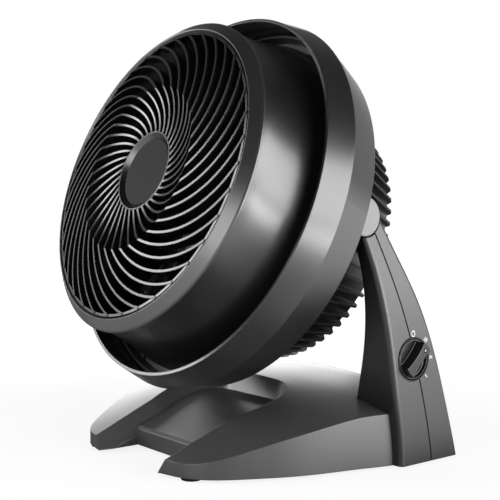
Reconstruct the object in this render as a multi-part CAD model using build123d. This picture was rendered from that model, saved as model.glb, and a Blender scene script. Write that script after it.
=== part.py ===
from build123d import *
import os
from math import asin, cos, degrees, hypot, radians, sin

os.makedirs("parts", exist_ok=True)

# Air circulator fan in millimetres. +Z is up, the fan blows towards -Y, and +X is the right hand
# side as seen from the front, the side with the speed knob. Everything is first placed from the
# pivot axis in Y, then moved so that the origin is the middle of the footprint box, on the floor.
# The head is modelled upright on its own axis: there s (local +Z) runs forward from the pivot.

# ---- driving dimensions: stance ----
TILT_REST = 19.5          # how far the fan axis points above level at rest, degrees
PIVOT_HEIGHT = 190.3      # pivot axis above the base's lower edge
FOOT_STAND = 2.5          # how far the rubber feet lift the base off the floor

# ---- driving dimensions: fits ----
RUNNING_GAP = 0.05        # radial play of a turning shaft or pin
SLIDE_GAP = 0.3           # space between flat faces that move past each other
PANEL_GAP = 0.25          # space between fixed panels
SEAM_GAP = 1.1            # the visible seam between arm shell and arm cover
CUP_CLEARANCE = 0.1       # radial space round the knob's cup in the arm

# ---- driving dimensions: outer ring and inner duct, as radius and place on the axis ----
RING_FRONT_R, RING_FRONT_S = 152.0, 59.9
RING_CREASE_R, RING_CREASE_S = 157.5, 37.4
RING_REAR_R, RING_REAR_S = 147.9, 5.0
RING_WALL = 2.4
RING_POCKET = 13.0        # depth of the clear pocket for the arm tops inside the ring's rear edge
FLANGE_T = 2.5            # thickness of the ring's inner flange and of the rear grille's web
COLLAR_LENGTH = 8.5       # how far the rear grille's collar reaches forward of its web
COLLAR_INSET = 2.4        # space between the collar's lip and the ring's inside
DUCT_FRONT_R = 128.4      # outside radius of the duct just behind the bezel
DUCT_WAIST_R = 127.9
DUCT_REAR_R = 142.0
DUCT_WALL = 2.6

# ---- driving dimensions: bezel and front grille ----
BEZEL_R, BEZEL_S = 128.6, 100.5
OPENING_R, OPENING_S = 120.2, 106.7
BEZEL_LIP = 2.0           # width of the bezel's bright inner chamfer
BEZEL_SKIRT = 9.0         # how deep the bezel's skirt reaches into the duct
VANE_COUNT = 37
VANE_T = 1.9
VANE_DEPTH = 9.0
VANE_FIRST = 1.6          # angle of the first vane at the hub ring, degrees
VANE_RATE_IN = 0.75       # degrees of sweep for each mm of radius, inside the kink
VANE_RATE_OUT = 0.77      # the same just outside the kink
VANE_RATE_GAIN = 0.0015   # how fast that sweep grows outside the kink
KINK_R, KINK_S = 67.5, 115.4
HUB_RING_R, HUB_RING_S = 33.0, 108.3
HUB_BEVEL = 5.0           # width of the bevel inside the hub ring
HUB_DISH = 3.4            # how far the medallion lies behind the hub ring's rim
MEDALLION_T, MEDALLION_BEVEL = 2.4, 0.6

# ---- driving dimensions: rear grille ----
RIB_COUNT = 64
RIB_T = 2.2
RIB_DEPTH = 8.0           # depth of the ribs beside the pivots
RIB_DEPTH_REAR = 15.0     # and at their rear corner
LINER_T = 2.0             # wall of the blind cone inside the side ribs
LINER_REAR_R, LINER_REAR_S = 101.5, -61.0  # inside radius and place of the cone's rear edge
RIB_R = 125.3             # outside radius of the ribs at the pivot
RIB_CORNER_R, RIB_CORNER_S = 106.8, -63.7
RIB_CORNER_ROUND = 4.0
BACK_DOME = 7.0           # how far the back bulges between its corner and the motor cap
CAP_RING_R = 48.0         # outside radius of the ring that holds the rear motor cap
CAP_RING_WALL = 4.0
HOOP_T = 3.0

# ---- driving dimensions: pivots ----
ARM_TOP_IN, ARM_TOP_OUT = 128.5, 142.1   # the arm's inner and outer face at the pivot, in X
PIVOT_CAP_R = 14.75
PIVOT_CAP_GAP = 0.85      # the dark line between pivot cap and arm front shell
BOSS_PLATE_T = 4.5        # thickness of the arm plate that carries the pivot bolt
PIN_R = 5.0
PIN_HEAD_R, PIN_HEAD_T = 9.0, 4.0
PIN_NUT_R, PIN_NUT_T = 8.0, 4.5
WASHER_T = 0.9
TRUNNION_R = 15.0
TRUNNION_LENGTH = 16.0    # depth of the trunnion in the head's side
TRUNNION_FLANGE = 4.0
SADDLE_WALL = 4.0

# ---- driving dimensions: motor, bracket and blade ----
BRACKET_T = 3.0
BRACKET_ARM_W = 14.0
BRACKET_ARMS = 4
BRACKET_RING_R = 47.0
SHELF_W = 9.0             # width of the web's shelf that carries the bracket
MOTOR_R = 44.0
BELL_WALL = 2.0
STACK_LENGTH = 24.0
STACK_BORE_R = 24.0
AIR_GAP = 0.5
WINDING_LENGTH = 8.0
WINDING_GAP = 1.0
WINDING_WIDTH = 12.0
SHAFT_R = 4.0
BEARING_R, BEARING_LENGTH = 8.0, 8.0
BEARING_HOUSING = 3.0
BLADE_COUNT = 3
BLADE_R = 117.0
BLADE_T = 2.4
BLADE_HUB_R, BLADE_HUB_LENGTH = 31.0, 30.0
BLADE_HUB_WALL = 2.6
BLADE_ROOT_CHORD, BLADE_TIP_CHORD = 50.0, 96.0
BLADE_ROOT_PITCH, BLADE_TIP_PITCH = 42.0, 24.0
BLADE_CAMBER = 0.09       # blade camber as a share of its chord
BLADE_LIFT = 3.0          # how far the blades stand ahead of the middle of their hub
CLIP_R, CLIP_T = 9.0, 5.0

# ---- driving dimensions: base ----
BASE_FRONT_Y = -118.0     # tips of the two prongs
BASE_REAR_Y = 118.0
TONGUE_FRONT_Y = -82.4
PRONG_IN_X = 41.0         # inner side of each prong at the floor
CROWN_R = 560.0           # radius of the base's crown across its width
BASE_WALL = 2.6
RECESS_LEAN = 36.0        # outward lean of the recess walls, degrees
RECESS_SLOPE = 17.5       # slope of the recess along the base, degrees
RECESS_ROUND = 16.0       # rounding of its rear corners
RECESS_HEIGHT = 44.0      # how high its walls are carried before the base's top cuts them
COVER_T = 2.2
COVER_GAP = 0.6           # space round the bottom cover inside the shell
FOOT_R, FOOT_PLUG_R, FOOT_PLUG = 8.0, 4.0, 1.6
POST_R = 4.5
SCREW_R, SCREW_HEAD_R, SCREW_HEAD_T, SCREW_GRIP = 1.6, 3.2, 1.6, 7.0
GLAND_X, GLAND_Z = 0.0, 17.0
GLAND_R, GLAND_FLANGE_R, GLAND_FLANGE_T, GLAND_LENGTH = 6.0, 9.0, 2.0, 14.0
CORD_BORE_R = 3.6

# ---- driving dimensions: arms ----
ARM_WALL = 2.6
SOCKET_WALL = 3.0         # wall of the base's socket round each arm foot
ARM_EDGE_ROUND = 4.0      # rounding of the arm's long edges

# ---- driving dimensions: knob and switch, in the right hand arm ----
KNOB_Y, KNOB_Z = 48.8, 81.0   # knob axis, from the pivot in Y and from the base's edge in Z
KNOB_R = 15.4
KNOB_RIM = 0.3            # how far the knob's rim stands out of the arm's face
KNOB_RISE = 6.0           # how far its grip does
KNOB_GRIP_W = 11.4        # width of the grip at its ends
KNOB_WAIST = 1.9          # how much each finger hollow narrows the grip's middle
KNOB_EDGE = 1.1           # width of the rim round the finger hollows
KNOB_HOLLOW = 2.6         # depth of the finger hollows below the rim
KNOB_ANGLE = 45.0         # where the grip points at rest, clockwise from straight up
CUP_R, CUP_WALL = 16.9, 0.9
CUP_DEPTH, CUP_FLOOR = 8.2, 1.6
CUP_LIP = 0.5             # how far the cup's edge stands out of the arm's face
CUP_FLANGE_R, CUP_FLANGE_T = 18.9, 1.2
SWITCH_R, SWITCH_LENGTH = 12.5, 14.0
BUSHING_R, BUSHING_NUT_R, BUSHING_NUT_T = 4.5, 8.0, 2.0
SWITCH_SHAFT_R = 3.0
SWITCH_BORE = 8.0         # how deep the shaft's bore reaches into the switch
KNOB_SKIN = 2.0           # material between the shaft's end and the grip's top

# ---- shape lists: outlines as (x, y) or (y, z), from the pivot in Y and the base's edge in Z ----
BASE_SIDE = [(62.4, -113.8), (82.2, -102.7), (102.6, -72.0), (114.0, -49.0), (124.8, -15.0),
             (130.7, 8.5), (136.7, 29.0), (139.5, 62.0), (133.0, 93.0), (104.0, 110.5), (56.0, 116.5),
             (26.0, 117.7)]
BASE_TOP = [(-130.0, 9.0), (-118.0, 13.0), (-107.7, 17.0), (-92.0, 23.4), (-72.0, 31.5), (-49.0, 40.2),
            (-15.0, 49.5), (8.5, 54.4), (29.0, 56.8), (62.0, 57.8), (84.0, 56.4), (104.0, 48.5),
            (130.0, 20.0)]
RECESS_FLOOR = [(-150.0, 37.0), (-52.0, 37.0), (-24.0, 44.5), (2.0, 44.5)]   # as (y, half width)
TONGUE_TOP = [(-80.0, 15.6), (-63.0, 20.9), (-48.0, 26.0), (-31.0, 31.2), (-14.0, 35.6), (-3.0, 37.4),
              (12.0, 38.4), (40.0, 39.0)]
ARM_FRONT = [(34.2, -8.0), (33.3, 22.3), (29.1, 50.4), (24.4, 84.0), (15.8, 125.8), (7.4, 152.5),
             (1.0, 167.7), (-6.5, 184.0)]
ARM_REAR = [(102.5, -8.0), (96.2, 15.4), (89.1, 40.0), (78.6, 74.6), (59.2, 121.6), (47.4, 141.8),
            (35.9, 159.2), (22.5, 179.4), (13.4, 193.0)]
ARM_SEAM = [(70.0, -8.0), (63.6, 30.6), (55.6, 63.9), (43.3, 103.9), (31.6, 133.2), (20.4, 156.7),
            (8.3, 179.6), (-4.0, 202.0)]
ARM_INSIDE = [(91.0, -8.0), (101.5, 48.0), (109.0, 71.0), (117.0, 99.0), (123.2, 128.0),
              (126.6, 152.0), (128.2, 172.0), (128.5, 190.3), (128.5, 215.0)]
ARM_OUTSIDE = [(146.6, -8.0), (146.0, 50.0), (145.2, 84.0), (144.2, 125.0), (142.9, 160.0),
               (142.1, 190.3), (142.1, 215.0)]
POST_SPOTS = [(70.0, -88.0), (96.0, -30.0), (84.0, 84.0)]
FOOT_SPOTS = [(66.0, -103.0), (76.0, 99.0)]

# ---- values worked out from the driving dimensions ----
PIVOT_Z = FOOT_STAND + PIVOT_HEIGHT
WEB_S = RING_REAR_S + RING_POCKET + FLANGE_T       # rear face of the rear grille's web
WEB_FRONT_S = WEB_S + FLANGE_T                     # its front face, seat of duct and bracket
DUCT_FRONT_S = BEZEL_S - 2.2
BORE_R = OPENING_R - BEZEL_LIP                     # the bezel's bore, seat of the front grille
TRUNNION_IN_X = RIB_R + 0.6 - TRUNNION_LENGTH      # inner end of the trunnion's plug
PIVOT_NUT_X = TRUNNION_IN_X - TRUNNION_FLANGE - SLIDE_GAP
SHELF_R = RIB_R - RIB_DEPTH - SHELF_W              # inner radius of the web's shelf
KNOB_Z_FLOOR = KNOB_Z + FOOT_STAND
HEAD = Location((0, 0, PIVOT_Z), (90 - TILT_REST, 0, 0))

nodes = {}


# ---- helpers ----
def turned(edges):
    """A closed outline in (radius, s), turned about the fan axis."""
    return revolve(Plane.XZ * make_face(edges), Axis.Z)


def lines(*points):
    """A closed run of straight edges."""
    return Polyline(*points, close=True).edges()


def tube(outer, inner, low, high):
    """A ring about the fan axis between two places on it."""
    return turned(lines((inner, low), (outer, low), (outer, high), (inner, high)))


def rod(radius, low, high):
    """A round bar on the fan axis."""
    return Pos(0, 0, (low + high) / 2) * Cylinder(radius, abs(high - low))


def x_rod(radius, x_low, x_high, y, z):
    """A round bar along X."""
    return Pos((x_low + x_high) / 2, y, z) * Rot(0, 90, 0) * Cylinder(radius, abs(x_high - x_low))


def y_rod(radius, y_low, y_high, x, z):
    """A round bar along Y."""
    return Pos(x, (y_low + y_high) / 2, z) * Rot(90, 0, 0) * Cylinder(radius, y_high - y_low)


def z_rod(radius, z_low, z_high, x, y):
    """A round bar along Z."""
    return Pos(x, y, (z_low + z_high) / 2) * Cylinder(radius, z_high - z_low)


def around(shape, count, first=0.0):
    """Copies of a shape, evenly spaced about the fan axis."""
    return [Rot(0, 0, first + i * 360 / count) * shape for i in range(count)]


def mirrored(shape):
    """The same shape on the other side of the middle plane."""
    return mirror(shape, Plane.YZ)


def shifted(points, du, dv=0.0):
    """A list of outline points moved by one step."""
    return [(u + du, v + dv) for u, v in points]


def group(shapes):
    """Separate solids kept together in one node."""
    return Compound([solid for shape in shapes for solid in shape.solids()])


def two_sided(shapes):
    """Solids of the right half and their mirror images, in one node."""
    return group(shapes + [mirrored(shape) for shape in shapes])


def between(value, low, high, at_low, at_high):
    """Straight-line value between two known ones."""
    return at_low + (at_high - at_low) * (value - low) / (high - low)


# ---- head: shells ----
def ring_inner(s):
    """Inside radius of the outer ring's rear band at a place on the axis."""
    return between(s, RING_REAR_S, RING_CREASE_S, RING_REAR_R, RING_CREASE_R) - RING_WALL


def make_outer_ring():
    """Two-band outer ring with the inner flange that its screws pass through."""
    outer = [(RING_REAR_R, RING_REAR_S), (RING_CREASE_R, RING_CREASE_S), (RING_FRONT_R, RING_FRONT_S)]
    inner = [(r - RING_WALL, s) for r, s in reversed(outer)]
    ring = turned(lines(*outer, *inner))
    flange_r = RING_REAR_R - RING_WALL
    flange = turned(lines((flange_r, WEB_S - FLANGE_T), (ring_inner(WEB_S - FLANGE_T) + 1, WEB_S - FLANGE_T),
                          (ring_inner(WEB_S) + 1, WEB_S), (flange_r, WEB_S)))
    return ring + flange


def duct_line(shift):
    """The duct's waisted outline, moved inward by a wall."""
    points = [(DUCT_FRONT_R, DUCT_FRONT_S), (DUCT_WAIST_R, DUCT_FRONT_S - 10),
              (DUCT_WAIST_R + 1.4, DUCT_FRONT_S - 23),
              (between(0.33, 0, 1, DUCT_WAIST_R, DUCT_REAR_R), between(0.5, 0, 1, WEB_FRONT_S, DUCT_FRONT_S)),
              (between(0.65, 0, 1, DUCT_WAIST_R, DUCT_REAR_R), between(0.3, 0, 1, WEB_FRONT_S, DUCT_FRONT_S)),
              (between(0.93, 0, 1, DUCT_WAIST_R, DUCT_REAR_R), WEB_FRONT_S + 9),
              (DUCT_REAR_R, WEB_FRONT_S)]
    return Spline(*[(r - shift, s) for r, s in points])


def make_inner_duct():
    """The duct that carries the air, standing on the rear grille's web."""
    outer, inner = duct_line(0), duct_line(DUCT_WALL)
    edges = [outer, inner, Line(outer @ 0, inner @ 0), Line(outer @ 1, inner @ 1)]
    return turned(edges)


def make_front_bezel():
    """Sloping front ring with a bright chamfer round the grille and a skirt inside the duct."""
    skirt_r = DUCT_WAIST_R - DUCT_WALL - PANEL_GAP
    skirt_s = DUCT_FRONT_S - BEZEL_SKIRT
    return turned(lines((BEZEL_R, DUCT_FRONT_S), (BEZEL_R, BEZEL_S - 0.8), (BEZEL_R - 0.9, BEZEL_S + 0.4),
                        (OPENING_R + 0.5, OPENING_S - 0.1), (OPENING_R, OPENING_S),
                        (OPENING_R - 0.6, OPENING_S - 0.3), (BORE_R, OPENING_S - 2.2), (BORE_R, skirt_s),
                        (BORE_R + 2.2, skirt_s), (BORE_R + 2.2, DUCT_FRONT_S - 3.0),
                        (skirt_r, DUCT_FRONT_S - 3.0), (skirt_r, DUCT_FRONT_S)))


# ---- head: front grille ----
def vane_angle(radius):
    """Angle of a vane's centre line at a radius, in degrees."""
    inner = VANE_FIRST + VANE_RATE_IN * (min(radius, KINK_R) - HUB_RING_R)
    beyond = max(radius - KINK_R, 0.0)
    return inner + VANE_RATE_OUT * beyond + VANE_RATE_GAIN * beyond ** 2


def vane_half(radius_low, radius_high):
    """One stretch of a vane's plan outline, as a face."""
    radii = [radius_low, (radius_low + radius_high) / 2, radius_high]
    centre = [(r * cos(radians(vane_angle(r))), r * sin(radians(vane_angle(r)))) for r in radii]
    sides = ([], [])
    for i, (x, y) in enumerate(centre):
        before, after = centre[max(i - 1, 0)], centre[min(i + 1, 2)]
        dx, dy = after[0] - before[0], after[1] - before[1]
        nx, ny = -dy / hypot(dx, dy), dx / hypot(dx, dy)
        for side, sign in zip(sides, (1, -1)):
            side.append((x + sign * nx * VANE_T / 2, y + sign * ny * VANE_T / 2))
    left, right = ThreePointArc(*sides[0]), ThreePointArc(*sides[1])
    return make_face([left, right, Line(left @ 0, right @ 0), Line(left @ 1, right @ 1)])


def grille_band():
    """The domed band that the vanes fill: its front follows the hub, the kink and the rim."""
    kink, hub = (KINK_R, KINK_S), (HUB_RING_R - 1.0, HUB_RING_S - 0.2)
    rim = (BORE_R, OPENING_S - 0.4)
    rise = ThreePointArc(hub, (HUB_RING_R + 16, HUB_RING_S + 1.1), kink)
    rear = shifted([rim, kink, hub], 0, -VANE_DEPTH)
    return turned([rise, Line(kink, rim), Line(rim, rear[0]), Line(rear[0], rear[1]), Line(rear[1], rear[2]),
                   Line(rear[2], hub)])


def make_front_grille():
    """Spiral vanes between the hub ring and the rim, as one moulding."""
    rim_r = BORE_R - PANEL_GAP
    low = HUB_RING_S - VANE_DEPTH - 4
    plan = vane_half(HUB_RING_R - 0.8, KINK_R + 0.3) + vane_half(KINK_R - 0.3, rim_r - 0.8)
    vane = extrude(Pos(0, 0, low) * plan, KINK_S + 2 - low) & grille_band()
    rim_low, rim_top = OPENING_S - VANE_DEPTH - 1, OPENING_S - 0.9
    rim = turned(lines((rim_r, rim_top), (rim_r, rim_low), (rim_r - 2, rim_low), (rim_r - 2, rim_top + 0.3)))
    inner = HUB_RING_R - HUB_BEVEL
    seat = HUB_RING_S - HUB_DISH
    hub = turned(lines((HUB_RING_R, HUB_RING_S - 0.5), (HUB_RING_R - 0.5, HUB_RING_S),
                       (HUB_RING_R - 1.2, HUB_RING_S), (inner, seat), (inner, seat - MEDALLION_T),
                       (0, seat - MEDALLION_T), (0, seat - MEDALLION_T - 2),
                       (HUB_RING_R, HUB_RING_S - VANE_DEPTH)))
    return (rim + hub).fuse(*[part for turn in around(vane, VANE_COUNT) for part in turn.solids()])


def make_medallion():
    """Bare, flat round badge plate in the hub ring, with a bevelled edge."""
    radius, top = HUB_RING_R - HUB_BEVEL, HUB_RING_S - HUB_DISH
    plate = rod(radius, top - MEDALLION_T, top + MEDALLION_BEVEL)
    return chamfer(plate.edges().group_by(Axis.Z)[-1], MEDALLION_BEVEL)


# ---- head: rear grille ----
def rib_outer(s):
    """Outside radius of the ribs: straight beside the pivots, tapered behind them."""
    return RIB_R if s > 0 else between(s, RIB_CORNER_S, 0, RIB_CORNER_R, RIB_R)


def rib_face():
    """One L-shaped rib in (radius, s): down the side, round the corner and across the back."""
    back_s = RIB_CORNER_S - BACK_DOME
    cap_r = CAP_RING_R - 1
    outer = [(RIB_R, WEB_S + 1), (RIB_R, 0), (RIB_CORNER_R, RIB_CORNER_S), (cap_r, back_s)]
    inner = [(cap_r, back_s + RIB_DEPTH), (RIB_CORNER_R - RIB_DEPTH_REAR, RIB_CORNER_S + RIB_DEPTH_REAR),
             (RIB_R - RIB_DEPTH, 0), (RIB_R - RIB_DEPTH, WEB_S + 1)]
    face = make_face(lines(*outer, *inner))
    corner = [v for v in face.vertices() if abs(v.X - RIB_CORNER_R) < 0.01][0]
    return fillet(corner, RIB_CORNER_ROUND)


def side_hoop(s):
    """A hoop that ties the ribs' inner edges at one place along their side."""
    outer = rib_outer(s) - between(s, RIB_CORNER_S, 0, RIB_DEPTH_REAR, RIB_DEPTH) + 2.5
    return tube(outer, outer - HOOP_T, s - HOOP_T / 2, s + HOOP_T / 2)


def back_hoop(radius):
    """A hoop across the back of the ribs."""
    s = between(radius, CAP_RING_R, RIB_CORNER_R, RIB_CORNER_S - BACK_DOME, RIB_CORNER_S) + RIB_DEPTH - 2.5
    return tube(radius + 1.5, radius - 1.5, s, s + HOOP_T)


def make_rear_grille():
    """Web, collar, liner, ribs, hoops, cap ring and the two pivot saddles, as one moulding."""
    web = tube(ring_inner(WEB_S) - PANEL_GAP, SHELF_R, WEB_S, WEB_FRONT_S)
    lip_s = WEB_FRONT_S + COLLAR_LENGTH
    lip_r = ring_inner(lip_s) - COLLAR_INSET
    root_r = ring_inner(WEB_FRONT_S) - COLLAR_INSET
    collar = turned(lines((root_r - 2, WEB_S + 1), (root_r, WEB_S + 1), (lip_r, lip_s), (lip_r - 2, lip_s)))
    cap_ring = tube(CAP_RING_R, CAP_RING_R - CAP_RING_WALL, RIB_CORNER_S - BACK_DOME,
                    RIB_CORNER_S - BACK_DOME + RIB_DEPTH)
    rib = Pos(0, RIB_T / 2, 0) * extrude(Plane.XZ * rib_face(), RIB_T)
    liner = turned(lines((SHELF_R, WEB_S + 1), (SHELF_R + LINER_T, WEB_S + 1),
                         (LINER_REAR_R + LINER_T, LINER_REAR_S), (LINER_REAR_R, LINER_REAR_S)))
    hoops = [side_hoop(s) for s in (RIB_CORNER_S * 0.48, RIB_CORNER_S * 0.74)]
    hoops.append(back_hoop((CAP_RING_R + RIB_CORNER_R) / 2))
    ribs = around(rib, RIB_COUNT, 360 / RIB_COUNT / 2)
    body = (web + collar).fuse(cap_ring, liner, *hoops, *ribs)
    for side in (1, -1):
        saddle = x_rod(TRUNNION_R + SADDLE_WALL, side * TRUNNION_IN_X, side * RIB_R, 0, 0)
        behind = x_rod(TRUNNION_R + SADDLE_WALL + PANEL_GAP, side * (PIVOT_NUT_X - 20),
                       side * TRUNNION_IN_X, 0, 0)
        socket = saddle - x_rod(TRUNNION_R, side * TRUNNION_IN_X, side * RIB_R, 0, 0)
        body = body - saddle - behind + socket
    return body


def make_rear_motor_cap():
    """Dished cap that closes the middle of the rear grille."""
    outer = CAP_RING_R - CAP_RING_WALL - PANEL_GAP
    back = RIB_CORNER_S - BACK_DOME
    flange = CAP_RING_R - 1.0
    return turned(lines((0, back - 5.0), (outer * 0.55, back - 4.2), (flange - 2, back - 1.4), (flange, back),
                        (outer, back), (outer, back + 5), (outer - 2, back + 5), (outer - 2, back + 1.2),
                        (outer * 0.55, back - 1.8), (0, back - 2.6)))


# ---- head: trunnions ----
def make_trunnion():
    """Round plug in the head's side that turns on the pivot bolt, right hand side."""
    face_x = ARM_TOP_IN - WASHER_T - SLIDE_GAP
    plug = x_rod(TRUNNION_R, TRUNNION_IN_X - TRUNNION_FLANGE, face_x, 0, 0)
    flange = x_rod(TRUNNION_R + SADDLE_WALL, TRUNNION_IN_X - TRUNNION_FLANGE, TRUNNION_IN_X, 0, 0)
    return plug + flange - x_rod(PIN_R + RUNNING_GAP, 0, face_x + 1, 0, 0)


# ---- head: motor ----
BELL_FRONT_S = WEB_FRONT_S                              # the bracket's rear face carries the motor
WINDING_FRONT_S = BELL_FRONT_S - BELL_WALL - WINDING_GAP
STACK_FRONT_S = WINDING_FRONT_S - WINDING_LENGTH
STACK_REAR_S = STACK_FRONT_S - STACK_LENGTH
BELL_REAR_S = STACK_REAR_S - WINDING_LENGTH - WINDING_GAP - BELL_WALL
BELL_SPLIT_S = (STACK_FRONT_S + STACK_REAR_S) / 2
BLADE_S = BELL_FRONT_S + BRACKET_T + 4.0                # rear edge of the blade's hub
BLADE_END_S = BLADE_S + BLADE_HUB_LENGTH
BRACKET_SCREW_R = (SHELF_R + RIB_R - RIB_DEPTH) / 2
MOTOR_SCREW_R = MOTOR_R - 8.0


def bell(end_s, sign):
    """One motor end bell with its bearing housing; sign points from the motor to its end."""
    inner_s = end_s - sign * BELL_WALL
    wall = tube(MOTOR_R, SHAFT_R + 2.0, end_s, inner_s)
    side = tube(MOTOR_R, MOTOR_R - BELL_WALL, BELL_SPLIT_S, end_s)
    housing = tube(BEARING_R + BEARING_HOUSING, BEARING_R, inner_s, end_s - sign * BEARING_LENGTH)
    pocket = rod(BEARING_R, end_s - sign * 1.0, end_s - sign * (BEARING_LENGTH + 1.0))
    return wall + side + housing - pocket


def bearing(end_s, sign):
    """Sintered bearing in its housing."""
    return tube(BEARING_R, SHAFT_R + RUNNING_GAP, end_s - sign * 1.0, end_s - sign * BEARING_LENGTH)


def make_stator_core():
    """Round laminated stack with slots for the windings."""
    outer = MOTOR_R - BELL_WALL
    slot = Pos(STACK_BORE_R + 5.5, 0, 0) * Box(9, 4, STACK_LENGTH + 2)
    stack = tube(outer, STACK_BORE_R, STACK_REAR_S, STACK_FRONT_S)
    return stack - group(around(Pos(0, 0, BELL_SPLIT_S) * slot, 12))


def make_windings():
    """The two rings of copper at the ends of the stack."""
    inner = STACK_BORE_R + 1.5
    outer = inner + WINDING_WIDTH
    front = tube(outer, inner, STACK_FRONT_S, WINDING_FRONT_S)
    rear = tube(outer, inner, STACK_REAR_S - WINDING_LENGTH, STACK_REAR_S)
    return group([front, rear])


def screw_set(radius, seat_s, first, count=4, grip=SCREW_GRIP):
    """Screws on a circle, heads forward of their seat."""
    screw = rod(SCREW_R, seat_s - grip, seat_s) + rod(SCREW_HEAD_R, seat_s, seat_s + SCREW_HEAD_T)
    return around(Pos(radius, 0, 0) * screw, count, first)


def make_bracket():
    """Spider that carries the motor in the middle of the air path."""
    plate = tube(BRACKET_RING_R, SHAFT_R + 12, WEB_FRONT_S, WEB_FRONT_S + BRACKET_T)
    reach = RIB_R - RIB_DEPTH - 1.5
    arm = Pos((BRACKET_RING_R - 3 + reach) / 2, 0, WEB_FRONT_S + BRACKET_T / 2) * Box(
        reach - BRACKET_RING_R + 3, BRACKET_ARM_W, BRACKET_T)
    return plate.fuse(*around(arm, BRACKET_ARMS, 45))


# ---- rotor ----
def blade_section(radius, chord, pitch, mid_s):
    """A thin cambered section of a blade, on a plane square to the radius."""
    half, rise = chord / 2, chord * BLADE_CAMBER
    plane = Plane(origin=(radius, 0, mid_s), x_dir=(0, 1, 0), z_dir=(1, 0, 0))
    front = ThreePointArc((-half, BLADE_T / 2), (0, rise + BLADE_T / 2), (half, BLADE_T / 2))
    rear = ThreePointArc((-half, -BLADE_T / 2), (0, rise - BLADE_T / 2), (half, -BLADE_T / 2))
    face = make_face([front, rear, Line(front @ 0, rear @ 0), Line(front @ 1, rear @ 1)])
    return plane * (Rot(0, 0, pitch) * face)


def make_fan_blade():
    """Deep-pitched blades on a cup-shaped hub with a sleeve for the shaft."""
    mid_s = (BLADE_S + BLADE_END_S) / 2 + BLADE_LIFT
    middle = (BLADE_HUB_R + BLADE_R) / 2
    middle_chord = (BLADE_ROOT_CHORD + BLADE_TIP_CHORD) / 2
    middle_pitch = (BLADE_ROOT_PITCH + BLADE_TIP_PITCH) / 2
    blade = loft([blade_section(BLADE_HUB_R - 4, BLADE_ROOT_CHORD, BLADE_ROOT_PITCH, mid_s),
                  blade_section(middle, middle_chord, middle_pitch, mid_s + 3),
                  blade_section(BLADE_R + 6, BLADE_TIP_CHORD, BLADE_TIP_PITCH, mid_s + 5)])
    blade = blade & rod(BLADE_R, BLADE_S - 20, BLADE_END_S + 60)
    blade = blade - rod(BLADE_HUB_R - 1, BLADE_S - 20, BLADE_END_S + 60)
    wall = BLADE_HUB_WALL
    cup = turned(lines((BLADE_HUB_R, BLADE_S), (BLADE_HUB_R, BLADE_END_S - 5), (BLADE_HUB_R - 5, BLADE_END_S),
                       (SHAFT_R, BLADE_END_S), (SHAFT_R, BLADE_S + 2), (SHAFT_R + 4, BLADE_S + 2),
                       (SHAFT_R + 4, BLADE_END_S - wall), (BLADE_HUB_R - 6, BLADE_END_S - wall),
                       (BLADE_HUB_R - wall, BLADE_END_S - 7), (BLADE_HUB_R - wall, BLADE_S)))
    return cup.fuse(*[part for turn in around(blade, BLADE_COUNT, 20) for part in turn.solids()])


# ---- base ----
def inset_line(points, inset):
    """Outline points moved square to their line, to its left hand side as it runs."""
    moved = []
    for i, (x, y) in enumerate(points):
        before, after = points[max(i - 1, 0)], points[min(i + 1, len(points) - 1)]
        dx, dy = after[0] - before[0], after[1] - before[1]
        moved.append((x - dy / hypot(dx, dy) * inset, y + dx / hypot(dx, dy) * inset))
    return moved


def base_plan(inset):
    """The base's outline seen from above, as a face inset by a wall."""
    start = (PRONG_IN_X - 6, BASE_FRONT_Y - 2.0 + inset)
    side = Spline(*inset_line(BASE_SIDE, inset), (0, BASE_REAR_Y - inset))
    half = make_face([Line((0, start[1]), start), Line(start, side @ 0), side,
                      Line((0, BASE_REAR_Y - inset), (0, start[1]))])
    return half + mirror(half, Plane.YZ)


def base_crown(drop):
    """Everything below the base's crowned top, lowered by a wall."""
    top = Spline(*shifted(BASE_TOP, 0, -drop))
    low = -20.0
    edges = [top, Line(top @ 1, (BASE_TOP[-1][0], low)), Line((BASE_TOP[-1][0], low), (BASE_TOP[0][0], low)),
             Line((BASE_TOP[0][0], low), top @ 0)]
    axis = Axis((0, 0, BASE_TOP[9][1] - CROWN_R), (0, 1, 0))
    swing = degrees(asin(170.0 / CROWN_R))
    face = (Plane.YZ * make_face(edges)).rotate(axis, -swing)
    return revolve(face, axis, 2 * swing)


def recess(grow):
    """The open space between the prongs and over the dished tongue, grown by a wall."""
    front_y = RECESS_FLOOR[0][0]
    lean = radians(RECESS_SLOPE)
    slope = Plane(origin=(0, TONGUE_FRONT_Y, 2.0), x_dir=(1, 0, 0), z_dir=(0, -sin(lean), cos(lean)))
    half = [(width + grow, (y - TONGUE_FRONT_Y) / cos(lean)) for y, width in RECESS_FLOOR]
    half[-1] = (half[-1][0], half[-1][1] + grow)
    floor = make_face(Polyline(*half, *[(-x, v) for x, v in reversed(half)], close=True))
    floor = fillet(floor.vertices().group_by(Axis.Y)[-1], RECESS_ROUND + grow)
    wedge = extrude(slope * floor, RECESS_HEIGHT, taper=-RECESS_LEAN)
    curve = Spline(*shifted(TONGUE_TOP, 0, -grow))
    start = (TONGUE_FRONT_Y + grow, TONGUE_TOP[0][1] - 2.4 - grow)
    corners = [start, (start[0], -30), (front_y - 60, -30), (front_y - 60, 120), (TONGUE_TOP[-1][0], 120)]
    edges = [curve, Line(curve @ 0, start), Line(corners[-1], curve @ 1)] + Polyline(*corners).edges()
    above = Pos(-100, 0, 0) * extrude(Plane.YZ * make_face(edges), 200)
    depth = start[0] - front_y
    notch = Pos(0, start[0] - depth / 2, 0) * Box(2 * (PRONG_IN_X + grow), depth, 60)
    return (wedge & above) + notch


def base_volume(inset):
    """The base as a full block, inset on every side by a wall."""
    block = extrude(base_plan(inset), 90.0) & base_crown(inset)
    return block - recess(inset)


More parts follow.
